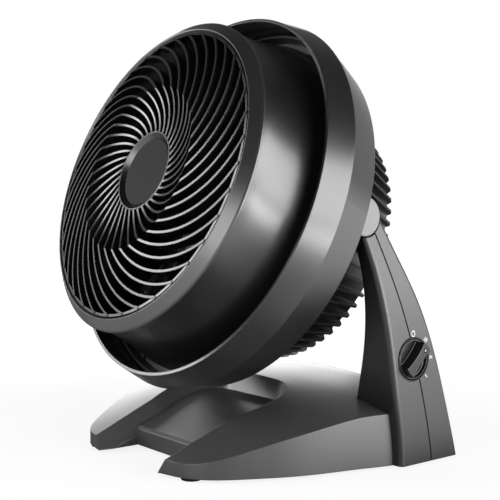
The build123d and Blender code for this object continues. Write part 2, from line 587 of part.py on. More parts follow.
def arm_volume(grow):
    """The right hand arm as a full block, grown on every side; below its pivot boss."""
    front, rear = Spline(*shifted(ARM_FRONT, -grow)), Spline(*shifted(ARM_REAR, grow))
    side = make_face([front, rear, Line(front @ 0, rear @ 0), Line(front @ 1, rear @ 1)])
    inside = Spline(*[(x - grow, z) for x, z in ARM_INSIDE])
    outside = Spline(*[(x + grow, z) for x, z in ARM_OUTSIDE])
    view = make_face([inside, outside, Line(inside @ 0, outside @ 0), Line(inside @ 1, outside @ 1)])
    block = Pos(60, 0, 0) * extrude(Plane.YZ * side, 110)
    slab = Pos(0, 160, 0) * extrude(Plane.XZ * view, 240)
    arm = block & slab
    long_edges = [edge for edge in arm.edges() if edge.length > PIVOT_HEIGHT / 2]
    return fillet(long_edges, ARM_EDGE_ROUND + grow)


def seam_side(gap):
    """Everything in front of the arm's seam."""
    seam = Spline(*shifted(ARM_SEAM, -gap))
    top, foot = (-80.0, ARM_SEAM[-1][1]), (-80.0, ARM_SEAM[0][1])
    edges = [seam, Line(seam @ 1, top), Line(top, foot), Line(foot, seam @ 0)]
    return Pos(60, 0, 0) * extrude(Plane.YZ * make_face(edges), 110)


# ---- base: shell and what closes it ----
def arm_foot(grow):
    """Both arm feet as blocks, grown on every side, for cutting their seats."""
    right = arm_volume(grow)
    return right + mirrored(right)


def both_sides(spots):
    """The spots of the right half and their mirror images."""
    return [(side * x, y) for x, y in spots for side in (1, -1)]


def make_base_shell():
    """Top shell with prongs, dished tongue, arm sockets, screw posts and the hole for the gland."""
    block = base_volume(0)
    cavity = base_volume(BASE_WALL)
    posts = group([z_rod(POST_R, COVER_T, 70, x, y) for x, y in both_sides(POST_SPOTS)])
    sockets = arm_foot(PANEL_GAP + SOCKET_WALL)
    holes = [z_rod(SCREW_R, -1, COVER_T + SCREW_GRIP, x, y) for x, y in both_sides(POST_SPOTS)]
    gland = y_rod(GLAND_R, BASE_REAR_Y - 30, BASE_REAR_Y + 5, GLAND_X, GLAND_Z)
    floor_slab = Pos(0, 0, COVER_T / 2) * Box(400, 400, COVER_T)
    inner = (posts & block) + ((sockets & block) - floor_slab)
    shell = (block - cavity) + inner - arm_foot(PANEL_GAP) - group(holes) - gland
    return shell


def cover_plan():
    """Outline of the bottom cover, inside the shell's wall and clear of the arm feet."""
    plate = base_volume(BASE_WALL + COVER_GAP) & (Pos(0, 0, COVER_T / 2) * Box(400, 400, COVER_T))
    return plate - arm_foot(PANEL_GAP)


def make_bottom_cover():
    """Flat cover under the shell with countersunk screw holes and sockets for the feet."""
    holes = [z_rod(SCREW_R, -1, COVER_T + 1, x, y) + z_rod(SCREW_HEAD_R, -1, SCREW_HEAD_T, x, y)
             for x, y in both_sides(POST_SPOTS)]
    plugs = [z_rod(FOOT_PLUG_R, -1, FOOT_PLUG, x, y) for x, y in both_sides(FOOT_SPOTS)]
    return cover_plan() - group(holes + plugs)


def make_feet():
    """Four round rubber feet with a plug each."""
    feet = []
    for x, y in both_sides(FOOT_SPOTS):
        pad = z_rod(FOOT_R, -FOOT_STAND, 0, x, y)
        low_edge = pad.edges().group_by(Axis.Z)[0]
        feet.append(fillet(low_edge, 0.8) + z_rod(FOOT_PLUG_R, 0, FOOT_PLUG, x, y))
    return group(feet)


def make_cover_screws():
    """Screws that hold the bottom cover to the shell's posts."""
    head = z_rod(SCREW_HEAD_R, 0.2, SCREW_HEAD_T, 0, 0)
    screw = head + z_rod(SCREW_R, SCREW_HEAD_T, COVER_T + SCREW_GRIP, 0, 0)
    return group([Pos(x, y, 0) * screw for x, y in both_sides(POST_SPOTS)])


def make_gland():
    """Bushing in the rear wall that the mains cord would pass through."""
    wall_y = BASE_REAR_Y
    body = y_rod(GLAND_R, wall_y - GLAND_LENGTH, wall_y, GLAND_X, GLAND_Z)
    collar = y_rod(GLAND_FLANGE_R, wall_y, wall_y + GLAND_FLANGE_T, GLAND_X, GLAND_Z)
    return body + collar - y_rod(CORD_BORE_R, wall_y - GLAND_LENGTH - 1, wall_y + 5, GLAND_X, GLAND_Z)


# ---- arms: the right hand one is modelled, the left one mirrors it ----
CAP_FROM_X = ARM_TOP_IN + BOSS_PLATE_T       # where the pivot cap sits on the boss plate
ARM_SCREWS = [(134.0, 120.0), (128.0, 62.0)]  # screws of the rear cover, as (x, z)
FOOT_SCREWS = [(52.0, 22.0), (82.0, 22.0)]   # screws through the arm's inner wall, as (y, z)


def arm_cavity():
    """The hollow of an arm, closed below and stopped under the pivot boss."""
    top = PIVOT_HEIGHT - PIVOT_CAP_R - 6
    room = Pos(120, 40, (ARM_WALL + top) / 2) * Box(120, 240, top - ARM_WALL)
    return arm_volume(-ARM_WALL) & room


def arm_bosses(radius):
    """Round bars along Y that hold the rear cover's screws."""
    return group([y_rod(radius, -40, 140, x, z) for x, z in ARM_SCREWS])


def arm_block():
    """The arm with its cavity and screw bosses, cut square at the base's lower edge."""
    below = Pos(120, 40, -50) * Box(200, 300, 100)
    solid = arm_volume(0) - below
    return (solid - arm_cavity()) + (arm_bosses(POST_R) & solid)


def line_at(points, z):
    """The first coordinate of an outline at a height."""
    for (u_low, z_low), (u_high, z_high) in zip(points, points[1:]):
        if z_low <= z <= z_high:
            return between(z, z_low, z_high, u_low, u_high)
    return points[-1][0]


def rear_face_y(z):
    """Where the arm's rear face lies at a height."""
    return line_at(ARM_REAR, z)


def arm_screw_shapes():
    """Screws that hold the rear cover, sunk into its rear face."""
    shapes = []
    for x, z in ARM_SCREWS:
        seat = rear_face_y(z) - 5.0
        shapes.append(y_rod(SCREW_R, line_at(ARM_SEAM, z) - SCREW_GRIP, seat, x, z)
                      + y_rod(SCREW_HEAD_R, seat, seat + SCREW_HEAD_T, x, z))
    return shapes


def foot_screw_shapes():
    """Screws from inside the base through the socket wall into the arm's inner wall."""
    shapes = []
    for y, z in FOOT_SCREWS:
        face_x = line_at(ARM_INSIDE, z)
        seat = face_x - PANEL_GAP - SOCKET_WALL - 1.0
        shapes.append(x_rod(SCREW_R, seat, face_x + ARM_WALL + 2, y, z)
                      + x_rod(SCREW_HEAD_R, seat - SCREW_HEAD_T, seat, y, z))
    return shapes


def screw_room():
    """What the screws in one arm cut away: their own holes and the sinks behind the heads."""
    sinks = [y_rod(SCREW_HEAD_R + PANEL_GAP, rear_face_y(z) - 5.0, rear_face_y(z) + 20, x, z)
             for x, z in ARM_SCREWS]
    return group(arm_screw_shapes() + foot_screw_shapes() + sinks)


def pivot_round(radius, low, high):
    """A round bar on the pivot axis, in the base's own frame."""
    return x_rod(radius, low, high, 0, PIVOT_HEIGHT)


def arm_face_x():
    """X of the arm's outer face beside the knob axis."""
    return line_at(ARM_OUTSIDE, KNOB_Z)


def cup_floor_x():
    """X of the face of the cup's floor, where the switch nut sits."""
    return arm_face_x() - CUP_DEPTH + CUP_FLOOR


def knob_low_x():
    """X of the knob's underside, clear of the cup's floor."""
    return cup_floor_x() + SLIDE_GAP


def make_arm_front():
    """Front shell of an arm, ending under the pivot cap in a round cut."""
    shell = arm_block() & seam_side(SEAM_GAP / 2)
    return shell - pivot_round(PIVOT_CAP_R + PIVOT_CAP_GAP, ARM_TOP_IN - 20, ARM_TOP_OUT + 5) - screw_room()


def make_arm_rear():
    """Rear cover of an arm, with the round boss plate that carries the pivot bolt."""
    cover = arm_block() - seam_side(-SEAM_GAP / 2)
    cover = cover - pivot_round(PIVOT_CAP_R + PANEL_GAP, CAP_FROM_X, ARM_TOP_OUT + 5)
    cover = cover - pivot_round(PIVOT_CAP_R + PANEL_GAP, ARM_TOP_IN - 20, ARM_TOP_IN)
    plate = pivot_round(PIVOT_CAP_R, ARM_TOP_IN, CAP_FROM_X)
    return cover + plate - pivot_round(PIN_R, ARM_TOP_IN - 5, ARM_TOP_OUT + 5) - screw_room()


def with_cup_hole(shape):
    """Cuts the hole for the knob's cup through the right arm's outer wall."""
    back = arm_face_x() - CUP_DEPTH - PANEL_GAP
    return shape - x_rod(CUP_R + CUP_CLEARANCE, back, back + 30, KNOB_Y, KNOB_Z)


def make_pivot_cap():
    """Round cap over the pivot bolt's head."""
    cap = pivot_round(PIVOT_CAP_R, CAP_FROM_X, ARM_TOP_OUT)
    cap = fillet(cap.edges().group_by(Axis.X)[-1], 0.9)
    return cap - pivot_round(PIN_HEAD_R + 1.5, CAP_FROM_X, CAP_FROM_X + PIN_HEAD_T + 0.8)


def make_pivot_bolt():
    """Bolt through the boss plate and the washer into the head's trunnion."""
    shank = pivot_round(PIN_R, PIVOT_NUT_X - PIN_NUT_T - 1.5, CAP_FROM_X)
    return shank + pivot_round(PIN_HEAD_R, CAP_FROM_X, CAP_FROM_X + PIN_HEAD_T)


def make_pivot_nut():
    """Nut on the inner end of the pivot bolt, with room to the trunnion."""
    nut = pivot_round(PIN_NUT_R, PIVOT_NUT_X - PIN_NUT_T, PIVOT_NUT_X)
    return nut - pivot_round(PIN_R, PIVOT_NUT_X - 20, PIVOT_NUT_X + 5)


def make_washer():
    """Friction washer that holds the head's tilt."""
    ring = pivot_round(PIVOT_CAP_R - 1, ARM_TOP_IN - WASHER_T, ARM_TOP_IN)
    return ring - pivot_round(PIN_R, ARM_TOP_IN - 5, ARM_TOP_IN + 5)


# ---- switch and knob ----
def make_dial_cup():
    """Round cup that the knob is sunk in, with a flange behind the arm's wall."""
    face = arm_face_x()
    back = face - CUP_DEPTH
    body = x_rod(CUP_R, back, face + CUP_LIP, KNOB_Y, KNOB_Z)
    flange_x = face - ARM_WALL - 3 * PANEL_GAP
    flange = x_rod(CUP_FLANGE_R, flange_x - CUP_FLANGE_T, flange_x, KNOB_Y, KNOB_Z)
    room = x_rod(CUP_R - CUP_WALL, cup_floor_x(), face + 5, KNOB_Y, KNOB_Z)
    return body + flange - room - x_rod(BUSHING_R, back - 1, face, KNOB_Y, KNOB_Z)


def make_switch_body():
    """Rotary switch behind the cup, with its bushing through the cup's floor."""
    inner = arm_face_x() - CUP_DEPTH
    body = x_rod(SWITCH_R, inner - SWITCH_LENGTH, inner, KNOB_Y, KNOB_Z)
    bushing = x_rod(BUSHING_R, inner, cup_floor_x() + BUSHING_NUT_T, KNOB_Y, KNOB_Z)
    bore = x_rod(SWITCH_SHAFT_R + RUNNING_GAP, inner - SWITCH_BORE, inner + 20, KNOB_Y, KNOB_Z)
    return body + bushing - bore


def make_switch_nut():
    """Panel nut that clamps cup and switch together, under the knob."""
    low = cup_floor_x()
    nut = x_rod(BUSHING_NUT_R, low, low + BUSHING_NUT_T, KNOB_Y, KNOB_Z)
    return nut - x_rod(BUSHING_R, low - 1, low + 9, KNOB_Y, KNOB_Z)


def grip_strip():
    """The knob's upright grip seen from outside: a strip with two hollow sides."""
    half, waist = KNOB_GRIP_W / 2, KNOB_GRIP_W / 2 - KNOB_WAIST
    left = ThreePointArc((-half, -KNOB_R), (-waist, 0), (-half, KNOB_R))
    right = ThreePointArc((half, -KNOB_R), (waist, 0), (half, KNOB_R))
    return make_face([left, right, Line(left @ 0, right @ 0), Line(left @ 1, right @ 1)])


def make_knob():
    """Round knob with a raised grip between two finger hollows, pointing at its rest mark."""
    low, rim = knob_low_x(), arm_face_x() + KNOB_RIM
    top = arm_face_x() + KNOB_RISE
    disc = x_rod(KNOB_R, low, rim, 0, 0)
    disc = fillet(disc.edges().group_by(Axis.X)[-1], 0.4)
    inside = Circle(KNOB_R - KNOB_EDGE)
    hollows = extrude(Plane.YZ * (inside - grip_strip()), KNOB_HOLLOW + 5)
    hollows = fillet(hollows.edges().group_by(Axis.X)[0], 1.2)
    grip = extrude(Plane.YZ * (inside & grip_strip()), top - low)
    grip = fillet(grip.edges().group_by(Axis.X)[-1], 0.8)
    knob = disc - Pos(rim - KNOB_HOLLOW, 0, 0) * hollows + Pos(low, 0, 0) * grip
    knob = knob - x_rod(BUSHING_NUT_R + 0.8, low - 1, cup_floor_x() + BUSHING_NUT_T + 0.8, 0, 0)
    knob = knob - x_rod(SWITCH_SHAFT_R, low - 1, top - KNOB_SKIN, 0, 0)
    return Pos(0, KNOB_Y, KNOB_Z) * (Rot(-KNOB_ANGLE, 0, 0) * knob)


def make_switch_shaft():
    """Shaft that the knob is pressed on, turning in the switch bushing."""
    inner = arm_face_x() - CUP_DEPTH - SWITCH_BORE + 1
    return x_rod(SWITCH_SHAFT_R, inner, arm_face_x() + KNOB_RISE - KNOB_SKIN, KNOB_Y, KNOB_Z)


# ---- assembly ----
def base_node(name, shape):
    """Stores a shape of the base's own frame, standing on its feet."""
    nodes[name] = Pos(0, 0, FOOT_STAND) * shape


def head_node(name, shape):
    """Stores a shape of the head's own frame, tilted as it rests."""
    nodes[name] = HEAD * shape


base_node("base_shell", make_base_shell() - two_sided(foot_screw_shapes()))
base_node("base_bottom_cover", make_bottom_cover())
base_node("rubber_feet", make_feet())
base_node("bottom_cover_screws", make_cover_screws())
base_node("cord_inlet_gland", make_gland())
arm_front, arm_rear = make_arm_front(), make_arm_rear()
base_node("right_arm_front_shell", with_cup_hole(arm_front))
base_node("right_arm_rear_cover", with_cup_hole(arm_rear))
base_node("left_arm_front_shell", mirrored(arm_front))
base_node("left_arm_rear_cover", mirrored(arm_rear))
pivot_pieces = {"pivot_cap": make_pivot_cap(), "pivot_bolt": make_pivot_bolt(), "pivot_nut": make_pivot_nut(),
                "friction_washer": make_washer()}
for name, piece in pivot_pieces.items():
    base_node("right_" + name, piece)
    base_node("left_" + name, mirrored(piece))
base_node("arm_cover_screws", two_sided(arm_screw_shapes()))
base_node("arm_foot_screws", two_sided(foot_screw_shapes()))
base_node("dial_cup", make_dial_cup())
base_node("rotary_switch", make_switch_body())
base_node("switch_nut", make_switch_nut())
base_node("speed_knob", make_knob())
base_node("switch_shaft", make_switch_shaft())

ring_screw_r = (RING_REAR_R - RING_WALL + ring_inner(WEB_S)) / 2
ring_screws = screw_set(ring_screw_r, WEB_FRONT_S, 22.5, 8, 2 * FLANGE_T)
bracket_face = WEB_FRONT_S + BRACKET_T
bracket_screws = screw_set(BRACKET_SCREW_R, bracket_face, 45, BRACKET_ARMS, BRACKET_T + FLANGE_T + 2)
motor_screws = screw_set(MOTOR_SCREW_R, bracket_face, 0, 4, BRACKET_T + BELL_WALL + 1)
head_node("outer_ring", make_outer_ring() - group(ring_screws))
head_node("inner_duct", make_inner_duct())
head_node("front_bezel", make_front_bezel())
head_node("front_grille", make_front_grille())
head_node("grille_medallion", make_medallion())
head_node("rear_grille", make_rear_grille() - group(ring_screws + bracket_screws))
head_node("rear_motor_cap", make_rear_motor_cap())
trunnion = make_trunnion()
head_node("right_trunnion", trunnion)
head_node("left_trunnion", mirrored(trunnion))
head_node("motor_bracket", make_bracket() - group(bracket_screws + motor_screws))
head_node("motor_front_bell", bell(BELL_FRONT_S, 1) - group(motor_screws))
head_node("motor_rear_bell", bell(BELL_REAR_S, -1))
head_node("front_bearing", bearing(BELL_FRONT_S, 1))
head_node("rear_bearing", bearing(BELL_REAR_S, -1))
head_node("stator_core", make_stator_core())
head_node("stator_windings", make_windings())
head_node("ring_screws", group(ring_screws))
head_node("bracket_screws", group(bracket_screws))
head_node("motor_screws", group(motor_screws))
head_node("fan_blade", make_fan_blade())
head_node("motor_shaft", rod(SHAFT_R, BELL_REAR_S + 2.0, BLADE_END_S + CLIP_T))
head_node("rotor_core", tube(STACK_BORE_R - AIR_GAP, SHAFT_R, STACK_REAR_S, STACK_FRONT_S))
head_node("blade_clip", tube(CLIP_R, SHAFT_R, BLADE_END_S, BLADE_END_S + CLIP_T))

# the origin: middle of the footprint box, on the floor
box = group(nodes.values()).bounding_box()
PIVOT_Y = -(box.min.Y + box.max.Y) / 2
for name, shape in nodes.items():
    export_step(Pos(0, PIVOT_Y, 0) * group([shape]), f"parts/{name}.step")

print("pivot at y", round(PIVOT_Y, 3), "z", round(PIVOT_Z, 3))
print("size", [round(v, 2) for v in box.size], "lowest z", round(box.min.Z, 3))
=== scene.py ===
"""Air circulator fan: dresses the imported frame, adds its small marks and sets a plain studio.

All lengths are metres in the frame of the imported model: +Z is up, the fan blows towards -Y and
+X is the side with the speed knob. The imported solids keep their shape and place; this file
gives every one of them its finish.
"""

from __future__ import annotations

import logging
from dataclasses import dataclass
from enum import Enum
from math import cos, pi, radians, sin
from typing import ClassVar, Iterable, Mapping, Optional, Sequence, Union

import bmesh
import bpy
from mathutils import Matrix, Vector
from mathutils.bvhtree import BVHTree


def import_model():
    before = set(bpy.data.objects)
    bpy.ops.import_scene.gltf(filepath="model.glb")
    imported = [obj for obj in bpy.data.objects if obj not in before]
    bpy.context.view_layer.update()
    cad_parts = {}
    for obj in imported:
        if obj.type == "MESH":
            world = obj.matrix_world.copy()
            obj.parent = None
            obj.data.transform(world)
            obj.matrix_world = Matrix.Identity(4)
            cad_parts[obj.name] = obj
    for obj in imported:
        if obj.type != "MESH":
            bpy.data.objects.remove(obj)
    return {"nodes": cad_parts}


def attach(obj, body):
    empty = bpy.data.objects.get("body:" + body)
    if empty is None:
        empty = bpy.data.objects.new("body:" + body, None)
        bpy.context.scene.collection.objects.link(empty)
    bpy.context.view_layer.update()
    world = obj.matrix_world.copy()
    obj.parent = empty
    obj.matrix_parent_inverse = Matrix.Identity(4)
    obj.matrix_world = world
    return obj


log = logging.getLogger("air_circulator")

MM = 0.001
HEAD_LEAN = radians(19.5)               # how far the fan's axis points up at rest
DIAL_CENTRE = (59.188 * MM, 83.5 * MM)  # Y and Z of the knob's axis
KNOB_TURN = radians(45.0)               # where the knob points at rest, clockwise from up

Colour = tuple[float, float, float]
Place = tuple[float, float, float]
Pair = tuple[float, float]


# ---- shader building ----
class Wire:
    """One output socket of a node tree, used like a number in Python expressions."""

    def __init__(self, shader: Shader, socket: Optional[bpy.types.NodeSocket]) -> None:
        """Keep the socket and the shader that it belongs to."""
        self.shader = shader
        self.socket = socket

    def _maths(self, operation: str, *values: Value) -> Wire:
        """Result of one Math node with this operation and these inputs in order."""
        settings = {"operation": operation}
        return self.shader.node("ShaderNodeMath", settings, dict(enumerate(values)))

    def __add__(self, other: Value) -> Wire:
        """Sum."""
        return self._maths("ADD", self, other)

    __radd__ = __add__

    def __sub__(self, other: Value) -> Wire:
        """Difference."""
        return self._maths("SUBTRACT", self, other)

    def __rsub__(self, other: Value) -> Wire:
        """Difference with this wire on the right."""
        return self._maths("SUBTRACT", other, self)

    def __mul__(self, other: Value) -> Wire:
        """Product."""
        return self._maths("MULTIPLY", self, other)

    __rmul__ = __mul__

    def sine(self) -> Wire:
        """Sine of an angle in radians."""
        return self._maths("SINE", self)

    def at_least(self, other: Value) -> Wire:
        """The greater of the two."""
        return self._maths("MAXIMUM", self, other)

    def at_most(self, other: Value) -> Wire:
        """The smaller of the two."""
        return self._maths("MINIMUM", self, other)

    def swing(self, width: float) -> Wire:
        """A noise of 0 to 1, centred on 0 and made this wide."""
        return (self - 0.5) * width

    def with_share(self, share: float, other: Wire) -> Wire:
        """This wire with a share, and the other one with the rest."""
        return self * share + other * (1.0 - share)


Value = Union[Wire, float, int, Sequence[float]]


class Shader:
    """Builds the node tree of one material or world."""

    def __init__(self, tree: bpy.types.NodeTree) -> None:
        """Empty the tree and start a new one."""
        self.tree = tree
        self.tree.nodes.clear()

    def node(self, kind: str, settings: Mapping[str, object],
             sockets: Mapping[Union[int, str], Value], output: Union[int, str] = 0) -> Wire:
        """Add any node.

        Args:
            kind: the node's Blender type.
            settings: its properties, set before its sockets.
            sockets: values or wires for its inputs, by name or number.
            output: the output that is wanted.

        Returns:
            The wanted output, or an empty wire where the node has none.
        """
        made = self.tree.nodes.new(kind)
        for name, setting in settings.items():
            setattr(made, name, setting)
        for key, value in sockets.items():
            if isinstance(value, Wire):
                self.tree.links.new(value.socket, made.inputs[key])
            else:
                made.inputs[key].default_value = value
        return Wire(self, made.outputs[output] if made.outputs else None)

    def place(self) -> Wire:
        """Position on the piece, in metres at rest."""
        return self.node("ShaderNodeTexCoord", {}, {}, "Object")

    def axis(self, vector: Wire, letter: str) -> Wire:
        """One component of a vector wire."""
        return self.node("ShaderNodeSeparateXYZ", {}, {0: vector}, letter)

    def ray(self, kind: str) -> Wire:
        """1 where the colour is asked for by one kind of ray, such as Glossy, else 0."""
        return self.node("ShaderNodeLightPath", {}, {}, f"Is {kind} Ray")

    def seen(self) -> Wire:
        """1 for what the camera sees, straight or through glass, else 0."""
        return (self.ray("Camera") + self.ray("Transmission")).at_most(1.0)

    def noise(self, vector: Wire, size: float, detail: float = 2.0, rough: float = 0.5) -> Wire:
        """Noise from 0 to 1 with clouds of this size in metres and finer layers in them."""
        sockets = {"Vector": vector, "Scale": 1.0 / size, "Detail": detail, "Roughness": rough}
        return self.node("ShaderNodeTexNoise", {}, sockets, "Fac")

    def blend(self, factor: Value, first: Colour, second: Colour) -> Wire:
        """Mix of two colours, where the factor is the share of the second."""
        sockets = {0: factor, 6: opaque(first), 7: opaque(second)}
        return self.node("ShaderNodeMix", {"data_type": "RGBA"}, sockets, 2)

    def relief(self, height: Wire, depth: float, edge: float) -> Wire:
        """Normal with fine relief and rounded edges.

        Args:
            height: relief from 0 to 1.
            depth: its depth in metres.
            edge: radius that sharp edges seem to have, in metres.

        Returns:
            The normal.
        """
        rounded = self.node("ShaderNodeBevel", {"samples": 4}, {"Radius": edge})
        sockets = {"Strength": 1.0, "Distance": depth, "Height": height, "Normal": rounded}
        return self.node("ShaderNodeBump", {}, sockets)


@dataclass(frozen=True)
class Fade:
    """A level that changes over a range of some value and holds outside it."""

    over: Pair
    levels: Pair = (0.0, 1.0)

    def of(self, value: Wire) -> Wire:
        """The level at a value."""
        sockets = {0: value, 1: self.over[0], 2: self.over[1], 3: self.levels[0], 4: self.levels[1]}
        return value.shader.node("ShaderNodeMapRange", {"clamp": True}, sockets)


def opaque(colour: Colour) -> tuple[float, float, float, float]:
    """A colour with the alpha that a socket wants."""
    return (*colour, 1.0)


def grey(level: float, blue: float = 0.001) -> Colour:
    """A grey with a little more blue."""
    return (level, level, level + blue)


def scaled(colour: Colour, factor: float) -> Colour:
    """A colour made lighter or darker."""
    return tuple(part * factor for part in colour)


# ---- finishes ----
@dataclass(frozen=True)
class Finish:
    """A named look that makes its own material."""

    name: str
    colour: Colour

    def sockets(self, shader: Shader) -> Mapping[str, Value]:
        """What the surface shader takes; every kind of finish has its own."""
        raise NotImplementedError(self.name)

    def build(self) -> bpy.types.Material:
        """Make the material.

        Returns:
            The new material.
        """
        material = bpy.data.materials.new(self.name)
        material.use_nodes = True
        shader = Shader(material.node_tree)
        surface = shader.node("ShaderNodeBsdfPrincipled", {}, self.sockets(shader))
        shader.node("ShaderNodeOutputMaterial", {}, {"Surface": surface})
        return material


class Skin(Enum):
    """Surface texture of a moulding: grain width and relief depth in metres."""

    POLISHED = (0.9 * MM, 0.002 * MM)
    SATIN = (0.35 * MM, 0.007 * MM)
    ETCHED = (0.28 * MM, 0.016 * MM)

    @property
    def grain(self) -> float:
        """Width of one grain."""
        return self.value[0]

    @property
    def depth(self) -> float:
        """Depth of the grain."""
        return self.value[1]


@dataclass(frozen=True)
class Moulding(Finish):
    """Moulded plastic or rubber with a textured skin and softly rounded edges."""

    roughness: float
    skin: Skin
    gloss: float = 0.5
    coat: float = 0.0
    edge: float = 0.5 * MM

    cloud: ClassVar[float] = 45 * MM
    cloud_share: ClassVar[float] = 0.7
    shade: ClassVar[float] = 0.14
    cloud_swing: ClassVar[float] = 0.06
    grain_swing: ClassVar[float] = 0.10
    coat_roughness: ClassVar[float] = 0.24

    def sockets(self, shader: Shader) -> Mapping[str, Value]:
        """Let wide clouds and fine grain change colour, gloss and relief.

        Args:
            shader: the tree that gets the nodes.

        Returns:
            What the surface shader takes.
        """
        place = shader.place()
        clouds = shader.noise(place, self.cloud, detail=3.0)
        grain = shader.noise(place, self.skin.grain, rough=0.6)
        mix = clouds.with_share(self.cloud_share, grain)
        dark, light = (scaled(self.colour, 1.0 + way * self.shade) for way in (-1, 1))
        rough = self.roughness + clouds.swing(self.cloud_swing) + grain.swing(self.grain_swing)
        return {"Base Color": shader.blend(mix, dark, light), "Roughness": rough,
                "Normal": shader.relief(grain, self.skin.depth, self.edge),
                "Specular IOR Level": self.gloss, "Coat Weight": self.coat,
                "Coat Roughness": self.coat_roughness}


@dataclass(frozen=True)
class Metal(Finish):
    """Machined, pressed or cast metal with fine tool marks."""

    roughness: float
    marks: float = 0.6 * MM
    depth: float = 0.006 * MM
    edge: float = 0.3 * MM

    cloud: ClassVar[float] = 12 * MM
    cloud_share: ClassVar[float] = 0.6
    dull: ClassVar[float] = 0.72
    cloud_swing: ClassVar[float] = 0.18
    mark_swing: ClassVar[float] = 0.12

    def sockets(self, shader: Shader) -> Mapping[str, Value]:
        """Let dull patches and tool marks change colour, gloss and relief.

        Args:
            shader: the tree that gets the nodes.

        Returns:
            What the surface shader takes.
        """
        place = shader.place()
        clouds = shader.noise(place, self.cloud, detail=3.0)
        marks = shader.noise(place, self.marks, detail=4.0, rough=0.7)
        mix = clouds.with_share(self.cloud_share, marks)
        rough = self.roughness + clouds.swing(self.cloud_swing) + marks.swing(self.mark_swing)
        return {"Base Color": shader.blend(mix, scaled(self.colour, self.dull), self.colour),
                "Roughness": rough, "Normal": shader.relief(marks, self.depth, self.edge),
                "Metallic": 1.0}


@dataclass(frozen=True)
class Laminated(Finish):
    """Thin steel sheets stacked along the fan's axis, or wire wound round it."""

    pitch: float
    roughness: float
    metallic: float

    cloud: ClassVar[float] = 6 * MM
    wave_share: ClassVar[float] = 0.7
    # How dark the wave's sunken troughs get: partly the edge lines, partly painted shade in the
    # grooves.
    dark: ClassVar[float] = 0.45
    cloud_swing: ClassVar[float] = 0.15
    depth: ClassVar[float] = 0.05 * MM
    edge: ClassVar[float] = 0.3 * MM

    def sockets(self, shader: Shader) -> Mapping[str, Value]:
        """Draw the edges of the sheets, or the turns of the wire, as waves along the axis; the
        sunken troughs are darker, partly as the edge lines and partly as painted shade in the
        grooves.

        Args:
            shader: the tree that gets the nodes.

        Returns:
            What the surface shader takes.
        """
        place = shader.place()
        up, ahead = shader.axis(place, "Z"), shader.axis(place, "Y")
        along = up * sin(HEAD_LEAN) - ahead * cos(HEAD_LEAN)
        wave = (along * (2 * pi / self.pitch)).sine() * 0.5 + 0.5
        clouds = shader.noise(place, self.cloud, detail=3.0)
        mix = wave.with_share(self.wave_share, clouds)
        # The dark colour in the wave's sunken troughs is partly painted shade in the grooves
        # between sheets and turns.
        return {"Base Color": shader.blend(mix, scaled(self.colour, self.dark), self.colour),
                "Roughness": self.roughness + clouds.swing(self.cloud_swing),
                "Metallic": self.metallic, "Normal": shader.relief(wave, self.depth, self.edge)}


@dataclass(frozen=True)
class Paint(Finish):
    """Thin printed marks."""

    roughness: ClassVar[float] = 0.42
    grain: ClassVar[float] = 0.2 * MM
    grain_swing: ClassVar[float] = 0.1
    worn_share: ClassVar[float] = 0.4
    worn: ClassVar[float] = 0.8

    def sockets(self, shader: Shader) -> Mapping[str, Value]:
        """Let a fine grain wear the colour.

        Args:
            shader: the tree that gets the nodes.

        Returns:
            What the surface shader takes.
        """
        grain = shader.noise(shader.place(), self.grain)
        worn = shader.blend(grain * self.worn_share, self.colour, scaled(self.colour, self.worn))
        return {"Base Color": worn, "Roughness": self.roughness + grain * self.grain_swing}


@dataclass(frozen=True)
class PaleFloor(Finish):
    """Pale studio floor that fades into the white surround; distances are in metres."""

    seen_away: Fade = Fade((0.3, 1.0), (0.84, 1.0))
    # The mirrored, beside and before fades place painted reflection glow that only glossy rays see.
    mirrored_away: Fade = Fade((0.3, 0.6))
    mirrored_x: Fade = Fade((-0.2, 0.25), (0.08, 1.0))
    beside_x: Fade = Fade((0.16, 0.24))
    beside_y: Fade = Fade((-0.14, 0.06))
    before_x: Fade = Fade((-0.55, -0.3))
    before_y: Fade = Fade((-0.42, -0.12), (1.0, 0.0))

    def sockets(self, shader: Shader) -> Mapping[str, Value]:
        """Glow for the camera, and painted reflections: glow that only mirrors see, on the fan's
        lit side, beside it and in front of it.

        Args:
            shader: the tree that gets the nodes.

        Returns:
            What the surface shader takes.
        """
        place = shader.place()
        x, y = (shader.axis(place, letter) for letter in "XY")
        away = shader.node("ShaderNodeVectorMath", {"operation": "LENGTH"}, {0: place}, "Value")
        beside = self.beside_x.of(x) * self.beside_y.of(y)
        before = self.before_x.of(x) * self.before_y.of(y)
        mirrored = self.mirrored_away.of(away) * self.mirrored_x.of(x)
        mirrored = mirrored.at_least(beside).at_least(before)
        # Glossy rays see extra glow in these patches: painted reflections on the fan's lower faces.
        glow = shader.seen() * self.seen_away.of(away) + shader.ray("Glossy") * mirrored
        return {"Base Color": opaque(self.colour), "Roughness": 1.0, "Specular IOR Level": 0.0,
                "Emission Color": glow.at_most(1.0), "Emission Strength": 1.0}


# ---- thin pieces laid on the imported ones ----
class Surface:
    """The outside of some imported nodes, to lay thin pieces on."""

    def __init__(self, nodes: Iterable[bpy.types.Object]) -> None:
        """Collect the faces of the nodes.

        Args:
            nodes: packed objects at rest.
        """
        points: list[Vector] = []
        faces: list[list[int]] = []
        for node in nodes:
            first = len(points)
            points.extend(node.matrix_world @ vertex.co for vertex in node.data.vertices)
            faces.extend([first + i for i in face.vertices] for face in node.data.polygons)
        self.tree = BVHTree.FromPolygons(points, faces)

    def meet(self, start: Vector, direction: Vector) -> Vector:
        """Find where a straight line first meets the surface.

        Args:
            start: a point outside.
            direction: the way to look.

        Returns:
            The point on the surface.

        Raises:
            ValueError: if the line misses.
        """
        place = self.tree.ray_cast(start, direction)[0]
        if place is None:
            raise ValueError(f"nothing below {tuple(start)}")
        return place


